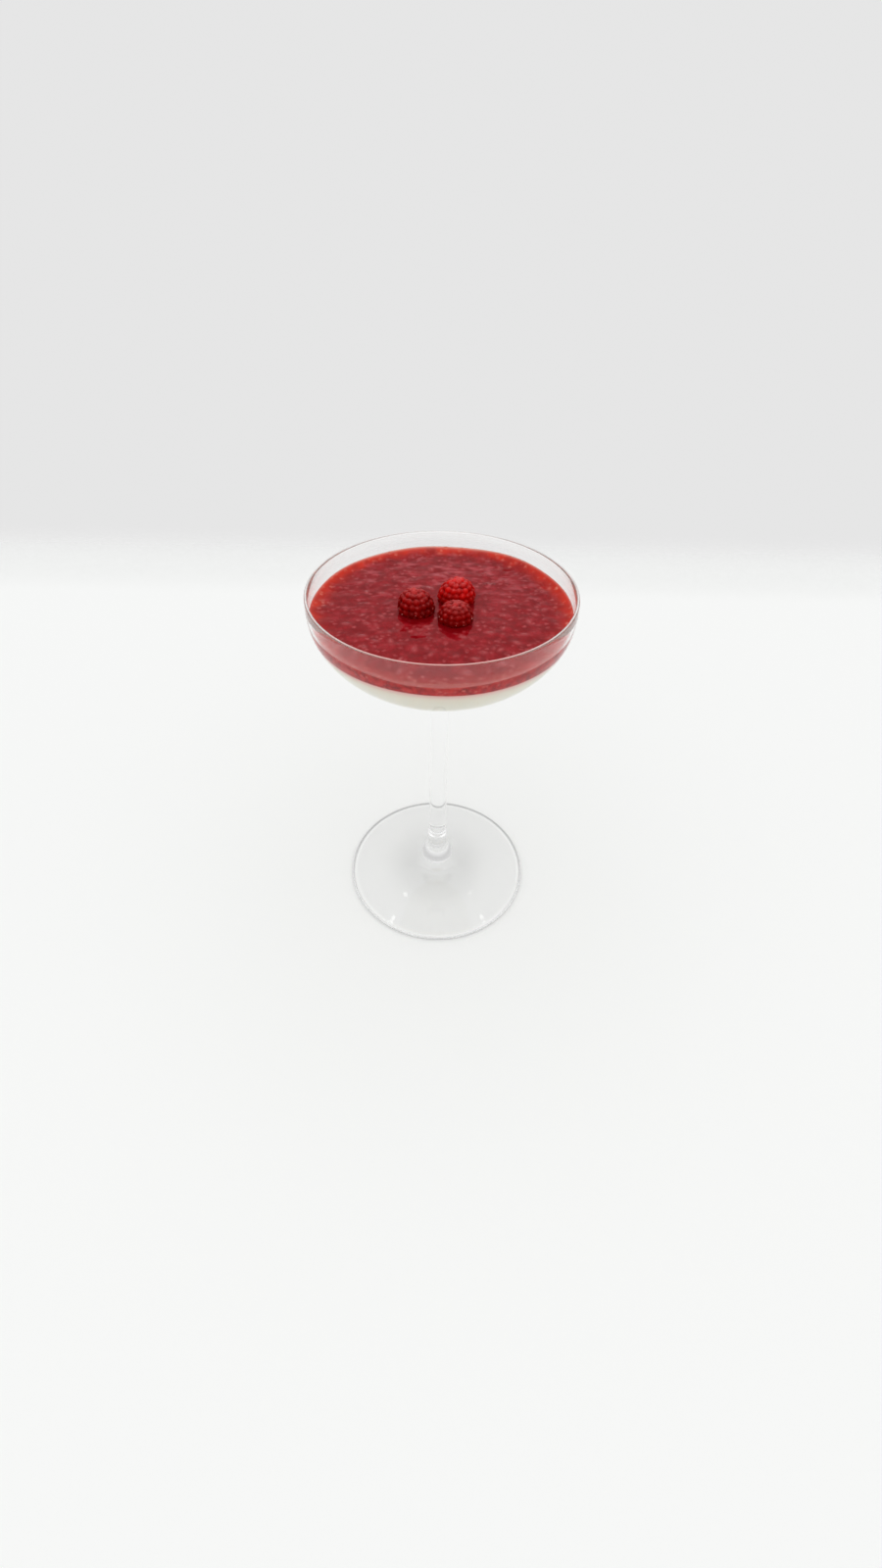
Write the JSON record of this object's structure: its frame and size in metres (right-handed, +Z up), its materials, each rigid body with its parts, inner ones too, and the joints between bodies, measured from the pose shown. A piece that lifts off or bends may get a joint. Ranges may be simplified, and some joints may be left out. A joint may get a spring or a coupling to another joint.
{
  "type": "panna cotta in a stemmed coupe glass",
  "caption": "Panna cotta set in a stemmed clear coupe glass, topped with a glossy layer of raspberry coulis and a cluster of whole raspberries.",
  "frame": {"origin": "the middle of the glass's foot, on the table it stands on", "axes": "+Z up along the stem; +X to the right and -Y towards the viewer, with one raspberry on the left (-X), one back right and one front right"},
  "size_m": [0.11, 0.11, 0.17],
  "materials": {
    "clear_glass": "polished clear soda-lime glass",
    "cream": "set cream, softly satin",
    "coulis": "wet glossy fruit sauce",
    "raspberry": "velvety fresh raspberry, moist"
  },
  "bodies": {
    "root": {"coupe_glass": "clear_glass", "panna_cotta": "cream", "raspberry_coulis": "coulis", "raspberry_left": "raspberry", "raspberry_back": "raspberry", "raspberry_front": "raspberry"}
  },
  "joints": []
}
